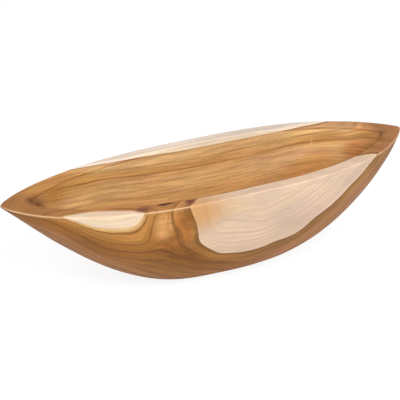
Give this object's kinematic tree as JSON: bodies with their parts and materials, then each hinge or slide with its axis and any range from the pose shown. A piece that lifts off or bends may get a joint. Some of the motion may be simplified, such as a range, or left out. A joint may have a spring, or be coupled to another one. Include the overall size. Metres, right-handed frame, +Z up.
{
  "type": "fruit bowl",
  "caption": "Boat-shaped fruit bowl carved from one solid piece of teak, with a slender end, a blunt end, a thick nearly level rim and a flat oval foot.",
  "frame": {"origin": "centre of the bounding box in plan, on the plane of the flat foot that the bowl stands on", "axes": "+X along the length towards the blunt end, +Y across the bowl towards the far side, +Z up out of the hollow"},
  "size_m": [0.5, 0.165, 0.1326],
  "materials": {
    "teak": "hand carved, sanded smooth and oiled to a soft satin; golden brown heartwood with cream sapwood on both long sides and a knot on the near side"
  },
  "bodies": {
    "root": {"bowl": "teak"}
  },
  "joints": []
}
